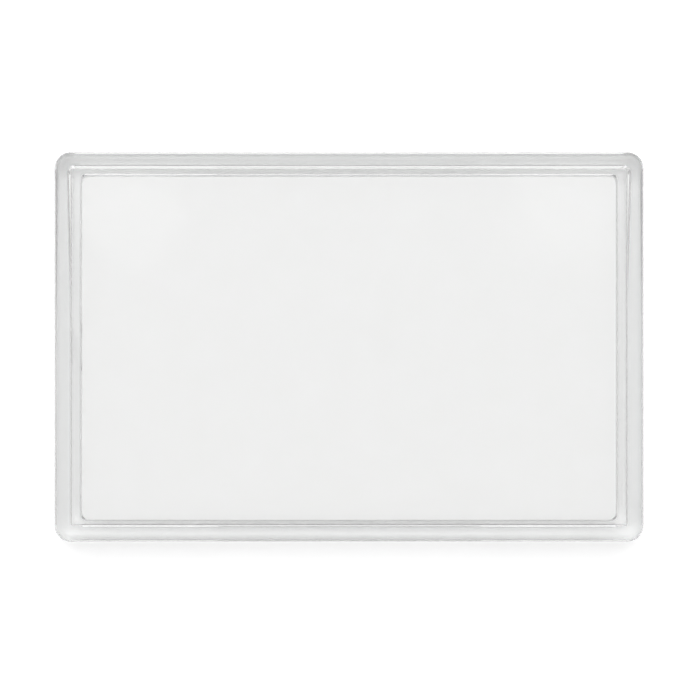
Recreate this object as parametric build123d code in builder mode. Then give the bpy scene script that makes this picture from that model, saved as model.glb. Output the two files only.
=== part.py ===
"""Clear snap-together magnetic frame for a 70 x 45 mm printed card, lying on its back.

A deep clear cover holds the window and the outer wall. A shallower clear tray snaps into the cover
from behind and holds the card against the window. A flexible magnet is taped into a seat in the
back of the tray and stands a little proud, so that it is what meets a fridge door.
Millimetres. X runs along the card's width, Y along its height, and Z from the magnet to the window.
The origin is the middle of the magnet's back face.
"""

import os

from build123d import *

# The card that the frame is made for
card_width = 70.0
card_height = 45.0
card_thickness = 0.3
card_corner_radius = 1.0

# The pocket in the tray that the card lies in, and how far the card has slid down in it
card_play = 0.25
card_sag = 0.18
pocket_depth = 0.5
pocket_corner_radius = 0.3

# The tray: its side rims are wider than its top and bottom rims
tray_side_rim = 1.17
tray_end_rim = 0.6
tray_floor = 1.4
tray_corner_radius = 0.25
tray_rim_round = 0.2
tray_foot_round = 0.15
tray_inset = 0.1
hollow_corner_radius = 0.8
hollow_root_radius = 0.3

# The cover: a window inside a thick wall with a rounded front edge
window_thickness = 2.1
cover_wall = 2.1
cover_corner_radius = 2.1
cover_front_round = 1.0
cover_foot_round = 0.1
recess_roof_radius = 0.2
recess_mouth_chamfer = 0.4

# Room between the two mouldings, and the draft that lets them leave their moulds
fit_gap = 0.12
roof_gap = 0.1
wall_draft = 0.5
outer_draft = 1.0

# The snap: a low bead on the tray's long sides clicks into a groove in the cover
bead_radius = 0.35
bead_height = 0.2
bead_length = 34.0
bead_rise = 1.1
groove_clearance = 0.06

# The thumbnail notch in the tray's back edge
notch_radius = 6.0
notch_bite = 0.9
notch_depth = 0.9

# The round marks that the ejector pins leave in the tray's back
pin_mark_radius = 1.5
pin_mark_depth = 0.1

# The magnet, its adhesive tape and its seat in the back of the tray
magnet_width = 55.0
magnet_height = 30.0
magnet_thickness = 2.0
magnet_edge_round = 0.15
magnet_play = 0.3
seat_depth = 0.3
seat_corner_radius = 0.6
tape_thickness = 0.15
tape_margin = 0.5
magnet_proud = 0.3

# One overrun serves every cut that has to pass a face
overrun = 1.0

# Sizes worked out from the card outwards
pocket_width = card_width + 2 * card_play
pocket_height = card_height + 2 * card_play
tray_width = pocket_width + 2 * tray_side_rim
tray_height = pocket_height + 2 * tray_end_rim
recess_width = tray_width + 2 * fit_gap
recess_height = tray_height + 2 * fit_gap
cover_width = recess_width + 2 * cover_wall
cover_height = recess_height + 2 * cover_wall
hollow_width = tray_width - 2 * tray_side_rim
hollow_height = tray_height - 2 * tray_end_rim
seat_width = magnet_width + 2 * magnet_play
seat_height = magnet_height + 2 * magnet_play

# Levels worked out from the magnet's back face forwards
tape_z = magnet_thickness
seat_z = tape_z + tape_thickness
floor_back_z = seat_z - seat_depth
card_z = floor_back_z + tray_floor
rim_top_z = card_z + pocket_depth
window_back_z = rim_top_z + roof_gap
window_front_z = window_back_z + window_thickness
cover_foot_z = magnet_proud
tray_foot_z = cover_foot_z + tray_inset
bead_z = tray_foot_z + bead_rise
bead_centre_y = tray_height / 2 + bead_height - bead_radius
notch_centre_x = tray_width / 2 + notch_radius - notch_bite
pin_mark_x = (seat_width + hollow_width) / 4
pin_mark_y = (seat_height + hollow_height) / 4

os.makedirs("parts", exist_ok=True)


def round_bar(radius, mode):
    """A bar with ball ends along both long sides of the tray: the snap bead, or the groove for it."""
    with Locations((0, bead_centre_y, bead_z), (0, -bead_centre_y, bead_z)):
        Cylinder(radius, bead_length, rotation=(0, 90, 0), mode=mode)
        with Locations((-bead_length / 2, 0, 0), (bead_length / 2, 0, 0)):
            Sphere(radius, mode=mode)


# Front cover
with BuildPart() as front_cover:
    with BuildSketch(Plane.XY.offset(cover_foot_z)):
        RectangleRounded(cover_width, cover_height, cover_corner_radius)
    extrude(amount=window_front_z - cover_foot_z, taper=outer_draft)
    front_face = front_cover.faces().sort_by(Axis.Z)[-1]
    fillet(front_face.edges(), cover_front_round)
    foot_face = front_cover.faces().sort_by(Axis.Z)[0]
    fillet(foot_face.edges(), cover_foot_round)
    with BuildSketch(Plane.XY.offset(cover_foot_z)):
        RectangleRounded(recess_width, recess_height, tray_corner_radius + fit_gap)
    extrude(amount=window_back_z - cover_foot_z, taper=wall_draft, mode=Mode.SUBTRACT)
    recess_edges = front_cover.edges(Select.LAST).group_by(Axis.Z)
    fillet(recess_edges[-1], recess_roof_radius)
    foot_face = front_cover.faces().sort_by(Axis.Z)[0]
    chamfer(foot_face.inner_wires()[0].edges(), recess_mouth_chamfer)
    round_bar(bead_radius + groove_clearance, Mode.SUBTRACT)
front_cover.part.label = "front_cover"

# Back tray
with BuildPart() as back_tray:
    with BuildSketch(Plane.XY.offset(tray_foot_z)):
        RectangleRounded(tray_width, tray_height, tray_corner_radius)
    extrude(amount=rim_top_z - tray_foot_z, taper=wall_draft)
    with BuildSketch(Plane.XY.offset(card_z)):
        RectangleRounded(pocket_width, pocket_height, pocket_corner_radius)
    extrude(amount=pocket_depth + overrun, mode=Mode.SUBTRACT)
    rim_face = back_tray.faces().sort_by(Axis.Z)[-1]
    fillet(rim_face.outer_wire().edges(), tray_rim_round)
    foot_face = back_tray.faces().sort_by(Axis.Z)[0]
    fillet(foot_face.edges(), tray_foot_round)
    with BuildSketch(Plane.XY.offset(floor_back_z)):
        RectangleRounded(hollow_width, hollow_height, hollow_corner_radius)
    extrude(amount=tray_foot_z - floor_back_z - overrun, taper=-wall_draft, mode=Mode.SUBTRACT)
    hollow_edges = back_tray.edges(Select.LAST).group_by(Axis.Z)
    fillet(hollow_edges[-1], hollow_root_radius)
    with BuildSketch(Plane.XY.offset(floor_back_z)):
        RectangleRounded(seat_width, seat_height, seat_corner_radius)
    extrude(amount=seat_depth, mode=Mode.SUBTRACT)
    with BuildSketch(Plane.XY.offset(floor_back_z)):
        with GridLocations(2 * pin_mark_x, 2 * pin_mark_y, 2, 2):
            Circle(pin_mark_radius)
    extrude(amount=pin_mark_depth, mode=Mode.SUBTRACT)
    with BuildSketch(Plane.XY.offset(tray_foot_z)):
        with Locations((-notch_centre_x, 0)):
            Circle(notch_radius)
    extrude(amount=notch_depth, mode=Mode.SUBTRACT)
    round_bar(bead_radius, Mode.ADD)
back_tray.part.label = "back_tray"

# Picture card
with BuildPart() as picture_card:
    with BuildSketch(Plane.XY.offset(card_z)):
        with Locations((0, -card_sag)):
            RectangleRounded(card_width, card_height, card_corner_radius)
    extrude(amount=card_thickness)
picture_card.part.label = "picture_card"

# Adhesive tape
with BuildPart() as adhesive_tape:
    with BuildSketch(Plane.XY.offset(tape_z)):
        Rectangle(magnet_width - 2 * tape_margin, magnet_height - 2 * tape_margin)
    extrude(amount=tape_thickness)
adhesive_tape.part.label = "adhesive_tape"

# Magnet
with BuildPart() as magnet:
    with BuildSketch():
        Rectangle(magnet_width, magnet_height)
    extrude(amount=magnet_thickness)
    fillet(magnet.edges().filter_by(Axis.Z), magnet_edge_round)
magnet.part.label = "magnet"

for piece in (front_cover, back_tray, picture_card, adhesive_tape, magnet):
    export_step(piece.part, f"parts/{piece.part.label}.step")
    print(piece.part.label, "volume", round(piece.part.volume, 1), "mm3")
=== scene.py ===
# %% [markdown]
# # A clear magnetic photo frame
# Two clear mouldings click together round a small blank card, and a flat rubber magnet is taped
# into the back. We load the finished construction, look straight down at it, model each piece
# again with the fine edges that a close look needs, and give every surface its real finish.
# What makes this object hard is that most of it is clear: nearly all of its looks come from
# what light does inside the walls, so the shapes have to be right before any finish can be.

# %% Load the frame
import math

import bmesh
import bpy
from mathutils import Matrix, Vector


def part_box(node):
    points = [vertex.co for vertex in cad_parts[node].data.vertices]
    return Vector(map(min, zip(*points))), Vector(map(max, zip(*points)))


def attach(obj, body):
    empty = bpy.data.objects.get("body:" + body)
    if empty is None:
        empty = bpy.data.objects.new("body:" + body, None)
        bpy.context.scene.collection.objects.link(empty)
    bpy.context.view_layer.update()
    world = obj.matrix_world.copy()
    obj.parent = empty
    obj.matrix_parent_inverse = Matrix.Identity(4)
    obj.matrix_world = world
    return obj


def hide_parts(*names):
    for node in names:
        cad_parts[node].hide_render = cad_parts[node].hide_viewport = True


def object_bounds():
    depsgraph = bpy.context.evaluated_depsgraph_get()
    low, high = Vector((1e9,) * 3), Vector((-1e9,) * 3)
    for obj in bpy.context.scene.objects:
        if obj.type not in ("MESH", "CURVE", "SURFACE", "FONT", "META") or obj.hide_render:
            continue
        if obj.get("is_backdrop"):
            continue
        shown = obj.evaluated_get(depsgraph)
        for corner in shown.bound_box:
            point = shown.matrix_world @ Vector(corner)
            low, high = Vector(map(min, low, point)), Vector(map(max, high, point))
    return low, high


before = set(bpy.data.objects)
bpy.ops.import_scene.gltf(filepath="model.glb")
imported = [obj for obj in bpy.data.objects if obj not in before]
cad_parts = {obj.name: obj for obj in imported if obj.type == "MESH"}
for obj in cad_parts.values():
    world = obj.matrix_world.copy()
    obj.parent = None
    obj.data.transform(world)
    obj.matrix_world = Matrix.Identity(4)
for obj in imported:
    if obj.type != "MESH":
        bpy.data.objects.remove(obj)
construction_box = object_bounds()

MM = 0.001
cover_low, cover_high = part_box("front_cover")
tray_low, tray_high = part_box("back_tray")
card_low, card_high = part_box("picture_card")
tape_low, tape_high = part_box("adhesive_tape")
magnet_low, magnet_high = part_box("magnet")
print("pieces", sorted(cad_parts))
print("cover is", [round(side / MM, 2) for side in cover_high - cover_low], "mm")

# %% [markdown]
# ## The camera
# The picture is taken from straight above with a long lens, so that the walls hardly lean. The
# card gives the scale: it is 70 mm wide, and we know between which pixels its edges lie. The
# outline of the whole frame then says where the middle is. A longer lens stands further away
# for the same picture, so the lens is chosen first and the height follows from it.

# %% Camera
PICTURE_SIDE_PX = 700
CARD_LEFT_PX, CARD_RIGHT_PX = 82.4, 615.8
OUTLINE_LEFT_PX, OUTLINE_RIGHT_PX = 54.4, 643.7
OUTLINE_TOP_PX, OUTLINE_BOTTOM_PX = 152.3, 541.6
LENS = 250
SENSOR = 36
FARTHEST_SEEN = 10.0

metres_per_px = (card_high.x - card_low.x) / (CARD_RIGHT_PX - CARD_LEFT_PX)
aim_x = (PICTURE_SIDE_PX - OUTLINE_LEFT_PX - OUTLINE_RIGHT_PX) / 2 * metres_per_px
aim_y = (OUTLINE_TOP_PX + OUTLINE_BOTTOM_PX - PICTURE_SIDE_PX) / 2 * metres_per_px
camera_height = metres_per_px * PICTURE_SIDE_PX * LENS / SENSOR

bpy.ops.object.camera_add(location=(aim_x, aim_y, card_high.z + camera_height))
camera = bpy.context.object
camera.name = "camera"
camera.data.lens = LENS
camera.data.sensor_width = SENSOR
camera.data.clip_end = FARTHEST_SEEN
bpy.context.scene.camera = camera
print("camera is", round(camera_height, 3), "m above the card")

# %% [markdown]
# ## Helpers for shaping
# Every operator in Blender works on what is selected. So one helper selects a single piece, and
# two more pick faces or edges in edit mode by where they are or which way they face, just as you
# would click them by hand.

# %% Selecting
def only(piece):
    """Selects this piece alone and makes it the active one."""
    bpy.ops.object.select_all(action="DESELECT")
    piece.select_set(True)
    bpy.context.view_layer.objects.active = piece


def pick_faces(piece, wanted):
    """In edit mode, selects the faces for which wanted(centre, normal) is true."""
    bpy.ops.mesh.select_mode(type="FACE")
    bpy.ops.mesh.select_all(action="DESELECT")
    shape = bmesh.from_edit_mesh(piece.data)
    for face in shape.faces:
        face.select_set(wanted(face.calc_center_median(), face.normal))
    bmesh.update_edit_mesh(piece.data)


def pick_edges(piece, wanted):
    """In edit mode, selects the edges for which wanted(one end, other end) is true."""
    bpy.ops.mesh.select_mode(type="EDGE")
    bpy.ops.mesh.select_all(action="DESELECT")
    shape = bmesh.from_edit_mesh(piece.data)
    for edge in shape.edges:
        edge.select_set(wanted(edge.verts[0].co, edge.verts[1].co))
    bmesh.update_edit_mesh(piece.data)


# %% [markdown]
# ## A moulded block
# Nearly every shape here, whether solid or hollow, is the same kind of thing: a block whose walls
# lean in a little, so that it can leave its mould, with round upright corners and a round rim.
# A cube becomes one in four steps: shrink its top face, bevel the four upright edges, bevel the
# edges round the top, and bevel those round the foot. The upright corners come first, because
# then the rim's bevel can run round them in one closed loop.

# %% Moulded block
CORNER_STEPS = 20
RIM_STEPS = 10
RIM_PROFILE = 0.5
NEAR = 0.002 * MM
FACES_UP = 0.9


def moulded_block(name, low, high, lean=0.0, corner=0.0, rim=0.0, foot=0.0):
    """A block between two corners, leaning in from its foot, with round corners, rim and foot."""
    bpy.ops.object.select_all(action="DESELECT")
    bpy.ops.mesh.primitive_cube_add(size=1, location=(low + high) / 2, scale=high - low)
    piece = bpy.context.object
    piece.name = name
    bpy.ops.object.transform_apply(location=True, rotation=True, scale=True)
    bpy.ops.object.mode_set(mode="EDIT")
    size = high - low
    narrowed = 2 * size.z * math.tan(lean)
    pick_faces(piece, lambda place, normal: normal.z > FACES_UP)
    bpy.ops.transform.resize(
        value=((size.x - narrowed) / size.x, (size.y - narrowed) / size.y, 1),
        center_override=((low.x + high.x) / 2, (low.y + high.y) / 2, high.z),
    )
    if corner:
        pick_edges(piece, lambda a, b: abs(a.z - b.z) > size.z / 2)
        bpy.ops.mesh.bevel(offset=corner, segments=CORNER_STEPS, affect="EDGES")
    for height, radius in ((high.z, rim), (low.z, foot)):
        if radius:
            pick_edges(piece, lambda a, b: max(abs(a.z - height), abs(b.z - height)) < NEAR)
            bpy.ops.mesh.bevel(
                offset=radius, segments=RIM_STEPS, profile=RIM_PROFILE, affect="EDGES"
            )
    bpy.ops.object.mode_set(mode="OBJECT")
    return piece


# %% [markdown]
# ## Cutting and joining
# A Boolean modifier takes one shape away from another, or adds it, which is how the recess, the
# pocket and the hollow are made. Inset and extrude would do for a plain box, but a hollow whose
# corners and floor have radii of their own is easier to build as a solid and then subtract.

# %% Cutting and joining
def combine(piece, tool, operation):
    """Applies a Boolean of the tool to the piece, and removes the tool."""
    only(piece)
    bpy.ops.object.modifier_add(type="BOOLEAN")
    modifier = piece.modifiers[-1]
    modifier.object = tool
    modifier.operation = operation
    modifier.solver = "EXACT"
    bpy.ops.object.modifier_apply(modifier=modifier.name)
    bpy.data.objects.remove(tool)


# %% [markdown]
# ## A bar with ball ends
# The tray's snap bead, and the groove in the cover that takes it, are each a thin round bar with
# ball ends. The least work is a ball whose two halves are pulled apart: the faces at its waist
# stretch into the bar. It starts with its poles turned to the sides, so that its rings lie
# across the bar.

# %% Round bar
BAR_SIDES = 32
BAR_RINGS = 17


def round_bar(name, radius, length, place):
    """A bar along X with ball ends: a ball is pulled apart at its waist."""
    bpy.ops.object.select_all(action="DESELECT")
    bpy.ops.mesh.primitive_uv_sphere_add(
        segments=BAR_SIDES, ring_count=BAR_RINGS, radius=radius, rotation=(0, math.pi / 2, 0)
    )
    bar = bpy.context.object
    bar.name = name
    bpy.ops.object.transform_apply(location=True, rotation=True, scale=True)
    bpy.ops.object.mode_set(mode="EDIT")
    for side in (1, -1):
        pick_faces(bar, lambda centre, normal: centre.x * side > NEAR)
        bpy.ops.transform.translate(value=(side * length / 2, 0, 0))
    bpy.ops.mesh.select_all(action="SELECT")
    bpy.ops.transform.translate(value=place)
    bpy.ops.object.mode_set(mode="OBJECT")
    return bar


# %% [markdown]
# ## Smooth faces, crisp edges
# The bevels have to shade as true curves while the big flat faces stay flat, or the light in the
# clear walls would bend where the real one doesn't. Shade Smooth by Angle keeps the real edges
# sharp, and the Weighted Normal modifier lets the large faces decide the normals along them.

# %% Smoothing
SHARP_ANGLE = math.radians(28)


def smooth(piece):
    """Smooth shading with crisp edges, with the flat faces kept flat."""
    only(piece)
    bpy.ops.object.shade_smooth_by_angle(angle=SHARP_ANGLE)
    bpy.ops.object.modifier_add(type="WEIGHTED_NORMAL")
    piece.modifiers[-1].keep_sharp = True
    bpy.ops.object.modifier_apply(modifier=piece.modifiers[-1].name)
    piece.data.calc_loop_triangles()
    print(piece.name, "has", len(piece.data.loop_triangles), "triangles")


# %% [markdown]
# ## Standing in for the construction
# The construction knows each piece as a node, which moves with a body and takes its finish from a
# named slot. A piece that we model again takes the node's place and rides on its body, or it
# would be left behind when the frame comes apart. Its finish is given later, on its own.

# %% Standing in
def stands_for(piece, node, body):
    """The piece takes the construction node's place and moves with the body."""
    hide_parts(node)
    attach(piece, body)
    print(piece.name, "stands for", node, "and rides on the", body)


# %% [markdown]
# ## The front cover
# The cover is a clear lid, moulded face up: a thick flat window inside a wall 2.1 mm thick, with
# a well rounded front rim. The recess behind the window holds the tray with a tenth of a
# millimetre to spare. The tray's box counts its snap beads, so the tray's own wall lies a bead's
# height inside that box. The block that cuts the recess reaches down past the cover's foot, so
# that no thin skin is left there, and its foot grows on the way, so that its walls stay put.

# %% Cover and recess
OUTER_LEAN = math.radians(1.0)
WALL_LEAN = math.radians(0.5)
COVER_CORNER = 2.1 * MM
COVER_RIM = 1.0 * MM
COVER_FOOT = 0.1 * MM
FIT_GAP = 0.12 * MM
ROOF_GAP = 0.1 * MM
ROOF_ROUND = 0.2 * MM
TRAY_CORNER = 0.25 * MM
BEAD_HEIGHT = 0.2 * MM
OVERRUN = 1.0 * MM

bead_out = Vector((0, BEAD_HEIGHT, 0))
tray_foot_low = tray_low + bead_out
tray_foot_high = tray_high - bead_out
gap_all_round = Vector((FIT_GAP, FIT_GAP, 0))
recess_low = tray_foot_low - gap_all_round
recess_high = tray_foot_high + gap_all_round
recess_low.z = cover_low.z
recess_high.z = tray_high.z + ROOF_GAP

cover = moulded_block(
    "cover_moulding", cover_low, cover_high, OUTER_LEAN, COVER_CORNER, COVER_RIM, COVER_FOOT
)


def reach_down(low, high, lean, depth):
    """The same block pulled down by a depth. Its foot grows with the lean."""
    growth = depth * math.tan(lean)
    return low - Vector((growth, growth, depth)), high + Vector((growth, growth, 0))


recess = moulded_block(
    "recess", *reach_down(recess_low, recess_high, WALL_LEAN, OVERRUN), WALL_LEAN,
    TRAY_CORNER + FIT_GAP, ROOF_ROUND,
)
combine(cover, recess, "DIFFERENCE")
print("recess is", [round(side / MM, 2) for side in recess_high - recess_low], "mm")

# %% [markdown]
# ## The snap groove
# A snap needs very little: a bead 0.2 mm high along each long side of the tray, and a groove that
# is a hair wider in the cover's wall. The groove is the bead's own bar, with the clearance added
# to its radius, so the two always match.

# %% Snap groove
BEAD_RADIUS = 0.35 * MM
BEAD_LENGTH = 34.0 * MM
BEAD_RISE = 1.1 * MM
GROOVE_CLEARANCE = 0.06 * MM

bead_y = tray_foot_high.y + BEAD_HEIGHT - BEAD_RADIUS
bead_z = tray_low.z + BEAD_RISE
groove_radius = BEAD_RADIUS + GROOVE_CLEARANCE
for side in (1, -1):
    groove = round_bar("groove", groove_radius, BEAD_LENGTH, (0, side * bead_y, bead_z))
    combine(cover, groove, "DIFFERENCE")
print("groove is", round((bead_y + groove_radius - recess_high.y) / MM, 2), "mm deep")

# %% [markdown]
# ## The mouth of the recess
# A chamfer at the mouth leads the tray in. At 45 degrees it also mirrors the floor outside, and
# shows as a bright line. In the photograph that line is broad along the far wall, thin along the
# near one, and gone half way down the sides. So instead of a bevel, which is even all round, the
# chamfer is cut with a block that leans in at 45 degrees and is twice as high, so that its top
# lies well inside the recess. Its near half is then moved in. Each side of the block starts half
# a millimetre outside the recess at the far corner, crosses the recess's wall half way down, and
# stops cutting there.

# %% Mouth chamfer
FAR_CHAMFER = 0.4 * MM
NEAR_CHAMFER = 0.15 * MM
SIDE_CHAMFER = 0.5 * MM
SIDE_RUNOUT = 1.2 * MM
CHAMFER_LEAN = math.radians(45)

chamfer_all_round = Vector((SIDE_CHAMFER, FAR_CHAMFER, 0))
mouth_low = recess_low - chamfer_all_round
mouth_high = recess_high + chamfer_all_round
mouth_high.z = cover_low.z + 2 * FAR_CHAMFER
mouth = moulded_block(
    "mouth", *reach_down(mouth_low, mouth_high, CHAMFER_LEAN, OVERRUN), CHAMFER_LEAN,
    TRAY_CORNER + FIT_GAP + FAR_CHAMFER,
)
only(mouth)
bpy.ops.object.mode_set(mode="EDIT")
for side in (1, -1):
    pick_edges(mouth, lambda a, b: min(side * a.x, side * b.x) > 0 and max(a.y, b.y) < 0)
    bpy.ops.transform.translate(value=(-side * SIDE_RUNOUT, FAR_CHAMFER - NEAR_CHAMFER, 0))
bpy.ops.object.mode_set(mode="OBJECT")
combine(cover, mouth, "DIFFERENCE")
smooth(cover)
stands_for(cover, "front_cover", "cover")

# %% [markdown]
# ## The back tray
# The tray is the shallower moulding that snaps in from behind. It has more corners than anything
# else here, so it is cut one feature at a time. First comes the pocket in its front, half a
# millimetre deep, with a quarter of a millimetre of play for the card on each side.

# %% Tray and pocket
TRAY_RIM = 0.2 * MM
TRAY_FOOT = 0.15 * MM
POCKET_DEPTH = 0.5 * MM
POCKET_CORNER = 0.3 * MM
CARD_PLAY = 0.25 * MM

tray = moulded_block(
    "tray_moulding", tray_foot_low, tray_foot_high, WALL_LEAN, TRAY_CORNER, TRAY_RIM, TRAY_FOOT
)


def centred_block(name, half_x, half_y, low_z, high_z, **form):
    """A moulded block about the middle of the frame."""
    low = Vector((-half_x, -half_y, low_z))
    high = Vector((half_x, half_y, high_z))
    return moulded_block(name, low, high, **form)


pocket_z = tray_high.z - POCKET_DEPTH
half_pocket_x = (card_high.x - card_low.x) / 2 + CARD_PLAY
half_pocket_y = (card_high.y - card_low.y) / 2 + CARD_PLAY
pocket = centred_block(
    "pocket", half_pocket_x, half_pocket_y, pocket_z, tray_high.z + OVERRUN, corner=POCKET_CORNER
)
combine(tray, pocket, "DIFFERENCE")
print("pocket is", round(2 * half_pocket_x / MM, 2), "by", round(2 * half_pocket_y / MM, 2), "mm")

# %% [markdown]
# ## The hollow and the magnet's seat
# Behind the card the tray is hollowed out, because a thick block of plastic would sink as it
# cools. In the floor of the hollow a shallow seat shows where the magnet belongs and keeps it
# square. The hollow leans like the walls round it, and the seat is too shallow to need that.

# %% Hollow and seat
TRAY_FLOOR = 1.4 * MM
HOLLOW_CORNER = 0.8 * MM
HOLLOW_ROOT = 0.3 * MM
SEAT_DEPTH = 0.3 * MM
SEAT_PLAY = 0.3 * MM
SEAT_CORNER = 0.6 * MM

floor_back_z = pocket_z - TRAY_FLOOR
half_seat_x = magnet_high.x + SEAT_PLAY
half_seat_y = magnet_high.y + SEAT_PLAY
hollow_low, hollow_high = reach_down(
    Vector((-half_pocket_x, -half_pocket_y, floor_back_z)),
    Vector((half_pocket_x, half_pocket_y, floor_back_z)),
    WALL_LEAN, floor_back_z - tray_low.z + OVERRUN,
)
hollow = moulded_block(
    "hollow", hollow_low, hollow_high, WALL_LEAN, HOLLOW_CORNER, HOLLOW_ROOT
)
combine(tray, hollow, "DIFFERENCE")
seat = centred_block(
    "seat", half_seat_x, half_seat_y, tray_low.z, floor_back_z + SEAT_DEPTH, corner=SEAT_CORNER
)
combine(tray, seat, "DIFFERENCE")
print("hollow is", round((floor_back_z - tray_low.z) / MM, 2), "mm deep")

# %% [markdown]
# ## Pin marks and a thumbnail notch
# Four pins push the tray out of its mould and leave faint round marks in its back, between the
# seat and the walls. A shallow bite out of one short side lets a thumbnail part the two
# mouldings. All five are cut with upright cylinders, and only a slice of the last one, whose
# middle lies outside the tray, meets the plastic.

# %% Pin marks and notch
PIN_RADIUS = 1.5 * MM
PIN_DEPTH = 0.1 * MM
NOTCH_RADIUS = 6.0 * MM
NOTCH_BITE = 0.9 * MM
NOTCH_DEPTH = 0.9 * MM
ROUND_SIDES = 96


def upright_cylinder(name, radius, place_x, place_y, low_z, high_z):
    """A cylinder to cut with, standing upright."""
    bpy.ops.object.select_all(action="DESELECT")
    bpy.ops.mesh.primitive_cylinder_add(
        vertices=ROUND_SIDES, radius=radius, depth=high_z - low_z,
        location=(place_x, place_y, (low_z + high_z) / 2),
    )
    cylinder = bpy.context.object
    cylinder.name = name
    bpy.ops.object.transform_apply(location=True, rotation=True, scale=True)
    return cylinder


pin_x = (half_seat_x + half_pocket_x) / 2
pin_y = (half_seat_y + half_pocket_y) / 2
for x in (pin_x, -pin_x):
    for y in (pin_y, -pin_y):
        mark = upright_cylinder("pin_mark", PIN_RADIUS, x, y, tray_low.z, floor_back_z + PIN_DEPTH)
        combine(tray, mark, "DIFFERENCE")

notch_x = tray_low.x - NOTCH_RADIUS + NOTCH_BITE
notch = upright_cylinder(
    "notch", NOTCH_RADIUS, notch_x, 0, tray_low.z - OVERRUN, tray_low.z + NOTCH_DEPTH
)
combine(tray, notch, "DIFFERENCE")
print("pin marks are", round(2 * pin_x / MM, 1), "by", round(2 * pin_y / MM, 1), "mm apart")

# %% [markdown]
# ## The snap bead
# The bead is the groove's bar without the clearance, joined on instead of cut away. It comes last,
# so that no other cut can nick it. Then the tray is whole, and can be smoothed.

# %% Snap bead
for side in (1, -1):
    bead = round_bar("bead", BEAD_RADIUS, BEAD_LENGTH, (0, side * bead_y, bead_z))
    combine(tray, bead, "UNION")
smooth(tray)
stands_for(tray, "back_tray", "tray")

# %% [markdown]
# ## The card, the tape and the magnet
# The card is guillotined and has its corners rounded by a punch, so its edges are square with
# only the least roundness. The tape is a thin film that the magnet and the seat squeeze between
# them. The magnet is knife-cut from a rolled sheet, which leaves its corners nearly sharp. The
# tape is drawn a hair thinner than it is, because a film that shares its face with clear plastic
# makes the renderer choose between two surfaces in one place.

# %% Card, tape and magnet
CARD_CORNER = 1.0 * MM
CARD_EDGE = 0.03 * MM
TAPE_CORNER = 0.3 * MM
TAPE_EDGE = 0.04 * MM
TAPE_SKIN = Vector((0, 0, 0.006 * MM))
MAGNET_CORNER = 0.15 * MM
MAGNET_EDGE = 0.07 * MM

card = moulded_block("blank_card", card_low, card_high, 0, CARD_CORNER, CARD_EDGE, CARD_EDGE)
smooth(card)
stands_for(card, "picture_card", "card")
tape = moulded_block(
    "tape_film", tape_low + TAPE_SKIN, tape_high - TAPE_SKIN, 0, TAPE_CORNER, TAPE_EDGE, TAPE_EDGE
)
smooth(tape)
stands_for(tape, "adhesive_tape", "tray")
magnet = moulded_block(
    "rubber_magnet", magnet_low, magnet_high, 0, MAGNET_CORNER, MAGNET_EDGE, MAGNET_EDGE
)
smooth(magnet)
stands_for(magnet, "magnet", "tray")

# %% [markdown]
# ## Helpers for finishes
# Colours are given as sRGB hex values, but the renderer counts light, so one function
# turns them to linear. Another adds a shader node, sets its values and makes its links, which
# keeps each finish short enough to read.

# %% Helpers for finishes
SRGB_KNEE = 0.04045
SRGB_SLOPE = 12.92
SRGB_OFFSET = 0.055
SRGB_POWER = 2.4
FULL = 255


def linear(hex_colour):
    """An sRGB hex colour as the renderer's linear RGBA: a straight foot, then a power curve."""
    channels = []
    for place in (1, 3, 5):
        share = int(hex_colour[place:place + 2], 16) / FULL
        if share <= SRGB_KNEE:
            channels.append(share / SRGB_SLOPE)
        else:
            channels.append(((share + SRGB_OFFSET) / (1 + SRGB_OFFSET)) ** SRGB_POWER)
    return (*channels, 1)


def add_node(tree, kind, settings=None, **inputs):
    """A new node of that kind. Inputs are values, or sockets of other nodes to link."""
    node = tree.nodes.new("ShaderNode" + kind)
    for name, value in (settings or {}).items():
        setattr(node, name, value)
    for name, value in inputs.items():
        numbered = name[0] == "i" and name[1:].isdigit()
        socket = node.inputs[int(name[1:]) if numbered else name.replace("_", " ")]
        if isinstance(value, bpy.types.NodeSocket):
            tree.links.new(value, socket)
        else:
            socket.default_value = value
    return node


def new_material(name):
    """An empty material, its node tree and its output node."""
    material = bpy.data.materials.new(name)
    material.use_nodes = True
    material.node_tree.nodes.clear()
    output = material.node_tree.nodes.new("ShaderNodeOutputMaterial")
    return material, material.node_tree, output


def wear(piece, material):
    """Gives a piece this one material."""
    piece.data.materials.clear()
    piece.data.materials.append(material)
    print(piece.name, "wears", material.name)


# %% [markdown]
# ## Crystal polystyrene
# Both mouldings are crystal polystyrene, a hard clear plastic with a high index of refraction,
# 1.59, which is why the walls glitter. A polished mould leaves no roughness at all, only a wave
# a few millimetres long, where the plastic shrank as it set. Thick clear plastic also takes a
# little light away, green least of all, and that is volume absorption: the further a ray goes
# inside, the greyer it comes out, so the deep walls look darker than the thin window.

# %% Crystal polystyrene
POLYSTYRENE_IOR = 1.59
POLYSTYRENE_TINT = "#CDD2D0"
POLYSTYRENE_DENSITY = 22.0
SINK_WAVE = 7.0 * MM
SINK_HEIGHT = 0.012 * MM
WHITE = (1, 1, 1, 1)


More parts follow.
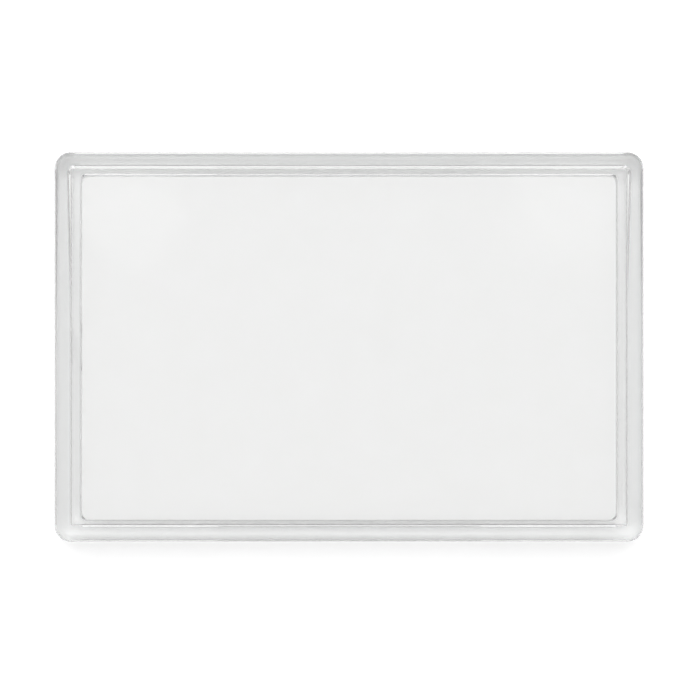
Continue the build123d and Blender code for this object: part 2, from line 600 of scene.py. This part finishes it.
def crystal_polystyrene(name, seed):
    """Clear plastic with its mould's polish and a faint wave of its own in each moulding."""
    material, tree, output = new_material(name)
    place = add_node(tree, "TexCoord")
    wave = add_node(
        tree, "TexNoise", {"noise_dimensions": "4D"},
        Vector=place.outputs["Object"], W=seed, Scale=1 / SINK_WAVE, Detail=1.0,
    )
    bump = add_node(tree, "Bump", Height=wave.outputs["Fac"], Distance=SINK_HEIGHT)
    surface = add_node(
        tree, "BsdfPrincipled", Base_Color=WHITE, Roughness=0.0, IOR=POLYSTYRENE_IOR,
        Transmission_Weight=1.0, Normal=bump.outputs["Normal"],
    )
    inside = add_node(
        tree, "VolumeAbsorption", Color=linear(POLYSTYRENE_TINT), Density=POLYSTYRENE_DENSITY
    )
    tree.links.new(surface.outputs["BSDF"], output.inputs["Surface"])
    tree.links.new(inside.outputs["Volume"], output.inputs["Volume"])
    return material


wear(cover, crystal_polystyrene("cover_crystal_polystyrene", 1.0))
wear(tray, crystal_polystyrene("tray_crystal_polystyrene", 2.0))

# %% [markdown]
# ## Card stock
# The blank card is uncoated board: pressed wood fibres, so it scatters all the light and has no
# shine. Close up it is never one flat white. Fibres lie mostly along the card, which makes a
# fine grain, and they clump a little, which makes a soft mottle a few millimetres across. Real
# fibres are about 0.02 mm wide, too fine to show here, so the grain is drawn ten times coarser.

# %% Card stock
FIBRE_WIDTH = 0.2 * MM
FIBRE_STRETCH = 4.0
CLUMP = 3.5 * MM
FIBRE_HEIGHT = 0.004 * MM
FIBRE_CONTRAST = 0.015
CARD_WHITE = "#F2F2F2"
CARD_CLUMP = "#EFEFEE"
CARD_ROUGHNESS = 0.95


def card_stock(name):
    """Uncoated white board, with grain along its length and a faint mottle."""
    material, tree, output = new_material(name)
    place = add_node(tree, "TexCoord")
    along = add_node(
        tree, "Mapping", Vector=place.outputs["Object"], Scale=(1 / FIBRE_STRETCH, 1, 1)
    )
    fibres = add_node(
        tree, "TexNoise", Vector=along.outputs["Vector"], Scale=1 / FIBRE_WIDTH, Detail=3.0
    )
    clumps = add_node(
        tree, "TexNoise", Vector=place.outputs["Object"], Scale=1 / CLUMP, Detail=2.0
    )
    mottle = add_node(
        tree, "Mix", {"data_type": "RGBA"},
        Factor=clumps.outputs["Fac"], i6=linear(CARD_CLUMP), i7=linear(CARD_WHITE),
    )
    colour = add_node(
        tree, "Mix", {"data_type": "RGBA", "blend_type": "MULTIPLY"},
        Factor=FIBRE_CONTRAST, i6=mottle.outputs[2], i7=fibres.outputs["Fac"],
    )
    bump = add_node(tree, "Bump", Height=fibres.outputs["Fac"], Distance=FIBRE_HEIGHT)
    surface = add_node(
        tree, "BsdfPrincipled", Base_Color=colour.outputs[2], Roughness=CARD_ROUGHNESS,
        Normal=bump.outputs["Normal"],
    )
    tree.links.new(surface.outputs["BSDF"], output.inputs["Surface"])
    return material


wear(card, card_stock("uncoated_card_stock"))

# %% [markdown]
# ## Adhesive film
# The tape is a clear polyester film with acrylic adhesive on both sides, milky where it is
# thick. Pressed between plastic and rubber, it never wets them evenly: it shows darker patches
# where it has taken hold, and paler ones where a little air is left.

# %% Adhesive film
WET_PATCH = 2.5 * MM
LOOSE_BELOW, HELD_ABOVE = 0.42, 0.58
LOOSE_COLOUR, HELD_COLOUR = "#DEDBD2", "#B9B4A8"
LOOSE_ROUGHNESS, HELD_ROUGHNESS = 0.45, 0.2


def adhesive_film(name):
    """Double-sided film, in paler and darker patches where it holds less or more."""
    material, tree, output = new_material(name)
    place = add_node(tree, "TexCoord")
    patches = add_node(
        tree, "TexNoise", Vector=place.outputs["Object"], Scale=1 / WET_PATCH, Detail=4.0
    )
    hold = add_node(
        tree, "MapRange", {"interpolation_type": "SMOOTHSTEP"},
        Value=patches.outputs["Fac"], From_Min=LOOSE_BELOW, From_Max=HELD_ABOVE,
    )
    colour = add_node(
        tree, "Mix", {"data_type": "RGBA"},
        Factor=hold.outputs["Result"], i6=linear(LOOSE_COLOUR), i7=linear(HELD_COLOUR),
    )
    shine = add_node(
        tree, "MapRange", Value=hold.outputs["Result"],
        To_Min=LOOSE_ROUGHNESS, To_Max=HELD_ROUGHNESS,
    )
    surface = add_node(
        tree, "BsdfPrincipled", Base_Color=colour.outputs[2], Roughness=shine.outputs["Result"]
    )
    tree.links.new(surface.outputs["BSDF"], output.inputs["Surface"])
    return material


wear(tape, adhesive_film("adhesive_film"))

# %% [markdown]
# ## Magnet rubber
# The magnet is synthetic rubber filled with ferrite powder, rolled into sheet between steel
# rollers and slit with a knife. Rolling gives its faces a dull satin and faint lines along the
# sheet, the powder gives a fine grain, and handling rubs the edges a little paler. The powder is
# finer than a pixel, so its grain is drawn at 0.15 mm.

# %% Magnet rubber
POWDER_GRAIN = 0.15 * MM
ROLLER_LINE = 0.5 * MM
ROLLER_STRETCH = 60.0
GRAIN_HEIGHT = 0.003 * MM
RUBBED_EDGE = 0.5 * MM
RUBBER_DARK, RUBBER_PALE, RUBBER_RUBBED = "#2A2726", "#353231", "#6B6764"
SATIN_ROUGHNESS, GRAIN_ROUGHNESS = 0.42, 0.66


def magnet_rubber(name, half_size):
    """Rolled ferrite rubber: grain, roller lines along X, and edges rubbed paler."""
    material, tree, output = new_material(name)
    place = add_node(tree, "TexCoord")
    rolled = add_node(
        tree, "Mapping", Vector=place.outputs["Object"], Scale=(1 / ROLLER_STRETCH, 1, 1)
    )
    lines = add_node(
        tree, "TexNoise", Vector=rolled.outputs["Vector"], Scale=1 / ROLLER_LINE, Detail=3.0
    )
    grain = add_node(
        tree, "TexNoise", Vector=place.outputs["Object"], Scale=1 / POWDER_GRAIN, Detail=4.0
    )
    across = add_node(tree, "VectorMath", {"operation": "ABSOLUTE"}, i0=place.outputs["Object"])
    inset = add_node(
        tree, "VectorMath", {"operation": "SUBTRACT"}, i0=across.outputs["Vector"], i1=half_size
    )
    parts = add_node(tree, "SeparateXYZ", Vector=inset.outputs["Vector"])
    nearest = add_node(
        tree, "Math", {"operation": "MAXIMUM"}, i0=parts.outputs["X"], i1=parts.outputs["Y"]
    )
    rubbed = add_node(
        tree, "MapRange", {"interpolation_type": "SMOOTHSTEP"},
        Value=nearest.outputs["Value"], From_Min=-RUBBED_EDGE, From_Max=0.0,
    )
    worn = add_node(
        tree, "Math", {"operation": "MULTIPLY"},
        i0=rubbed.outputs["Result"], i1=grain.outputs["Fac"],
    )
    faces = add_node(
        tree, "Mix", {"data_type": "RGBA"},
        Factor=lines.outputs["Fac"], i6=linear(RUBBER_DARK), i7=linear(RUBBER_PALE),
    )
    colour = add_node(
        tree, "Mix", {"data_type": "RGBA"},
        Factor=worn.outputs["Value"], i6=faces.outputs[2], i7=linear(RUBBER_RUBBED),
    )
    shine = add_node(
        tree, "MapRange", Value=grain.outputs["Fac"],
        To_Min=SATIN_ROUGHNESS, To_Max=GRAIN_ROUGHNESS,
    )
    relief = add_node(
        tree, "Math", {"operation": "ADD"}, i0=lines.outputs["Fac"], i1=grain.outputs["Fac"]
    )
    bump = add_node(tree, "Bump", Height=relief.outputs["Value"], Distance=GRAIN_HEIGHT)
    surface = add_node(
        tree, "BsdfPrincipled", Base_Color=colour.outputs[2], Roughness=shine.outputs["Result"],
        Normal=bump.outputs["Normal"],
    )
    tree.links.new(surface.outputs["BSDF"], output.inputs["Surface"])
    return material


magnet_half = (magnet_high - magnet_low) / 2
wear(magnet, magnet_rubber("rolled_ferrite_rubber", (magnet_half.x, magnet_half.y, 0)))

# %% [markdown]
# ## The floor
# The frame lies on a plain table, painted a pale grey that takes its shadow as any surface does.
# A photographer whitens such a table afterwards. Here a glow does that, which only the rays that
# look at the floor can see, so the light on the object stays as it is. Rays that reach the
# floor by a mirror or through plastic see less of it, because nobody retouches those.

# %% Floor
FLOOR_SIDE = 6.0
FLOOR_PAINT = "#EDEDED"
LIFT_DIRECT = 0.44
LIFT_THROUGH = 0.12


def white_table(name):
    """Pale paint, lifted to white for the rays that look at it or reach it through plastic."""
    material, tree, output = new_material(name)
    path = add_node(tree, "LightPath")
    by_way = add_node(
        tree, "Math", {"operation": "MAXIMUM"},
        i0=path.outputs["Is Glossy Ray"], i1=path.outputs["Is Transmission Ray"],
    )
    through = add_node(
        tree, "Math", {"operation": "MULTIPLY"}, i0=by_way.outputs["Value"], i1=LIFT_THROUGH
    )
    direct = add_node(
        tree, "Math", {"operation": "MULTIPLY"},
        i0=path.outputs["Is Camera Ray"], i1=LIFT_DIRECT,
    )
    lift = add_node(
        tree, "Math", {"operation": "ADD"},
        i0=direct.outputs["Value"], i1=through.outputs["Value"],
    )
    glow = add_node(tree, "Emission", Color=WHITE, Strength=lift.outputs["Value"])
    paint = add_node(tree, "BsdfDiffuse", Color=linear(FLOOR_PAINT))
    both = add_node(tree, "AddShader", i0=paint.outputs["BSDF"], i1=glow.outputs["Emission"])
    tree.links.new(both.outputs["Shader"], output.inputs["Surface"])
    return material


bpy.ops.object.select_all(action="DESELECT")
bpy.ops.mesh.primitive_plane_add(size=FLOOR_SIDE, location=(0, 0, 0))
floor = bpy.context.object
floor.name = "floor"
floor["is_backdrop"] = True
wear(floor, white_table("white_table"))
print("floor is", FLOOR_SIDE, "m wide")

# %% [markdown]
# ## The light
# Clear plastic has no looks of its own. It shows what is round it, bent and mirrored, so the
# light matters more here than any material. We use a plain white dome with one broad soft lamp
# high up behind the object, which leaves the far wall and its corners the darkest, as in the
# photograph. A low lamp in front lightens the near wall and draws the bright line beside it.
# Two small lamps close to overhead leave the pair of pale patches in the window's gloss.

# %% Light
DOME = 0.5
LAMPS = (
    # azimuth, elevation, full within and gone beyond, all in degrees, and then the strength
    (95, 55, 10, 60, 1.28),
    (270, 5, 3, 25, 1.5),
    (146, 86.9, 0, 0.9, 0.26),
    (34, 86.9, 0, 0.9, 0.24),
)


def lamp(tree, view, azimuth, elevation, full, gone, strength):
    """One soft round lamp in the sky, as the socket that holds its strength."""
    azimuth, elevation = math.radians(azimuth), math.radians(elevation)
    towards = (
        math.cos(elevation) * math.cos(azimuth),
        math.cos(elevation) * math.sin(azimuth),
        math.sin(elevation),
    )
    nearness = add_node(tree, "VectorMath", {"operation": "DOT_PRODUCT"}, i0=view, i1=towards)
    glow = add_node(
        tree, "MapRange", {"interpolation_type": "SMOOTHSTEP"}, Value=nearness.outputs["Value"],
        From_Min=math.cos(math.radians(gone)), From_Max=math.cos(math.radians(full)),
        To_Min=0.0, To_Max=strength,
    )
    return glow.outputs["Result"]


world = bpy.data.worlds.new("white_tent")
bpy.context.scene.world = world
world.use_nodes = True
sky = world.node_tree
sky.nodes.clear()
view = add_node(sky, "TexCoord").outputs["Generated"]
total = DOME
for values in LAMPS:
    total = add_node(
        sky, "Math", {"operation": "ADD"}, i0=total, i1=lamp(sky, view, *values)
    ).outputs["Value"]
tent = add_node(sky, "Background", Color=WHITE, Strength=total)
output = sky.nodes.new("ShaderNodeOutputWorld")
sky.links.new(tent.outputs["Background"], output.inputs["Surface"])

bpy.context.scene.view_settings.view_transform = "Standard"
bpy.context.scene.cycles.blur_glossy = 0
print("lamps", len(LAMPS))

# %% [markdown]
# ## Measure and finish
# Last, we measure the whole model again. Its box should be the construction's own, because fine
# edges may be added to a part but its size may not change. Both boxes are printed, one above
# the other.

# %% Finish
visual_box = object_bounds()
boxes = {
    "construction": [list(corner) for corner in construction_box],
    "visual": [list(corner) for corner in visual_box],
}
for name, corners in boxes.items():
    print(name, "box in mm", [[round(side / MM, 3) for side in corner] for corner in corners])
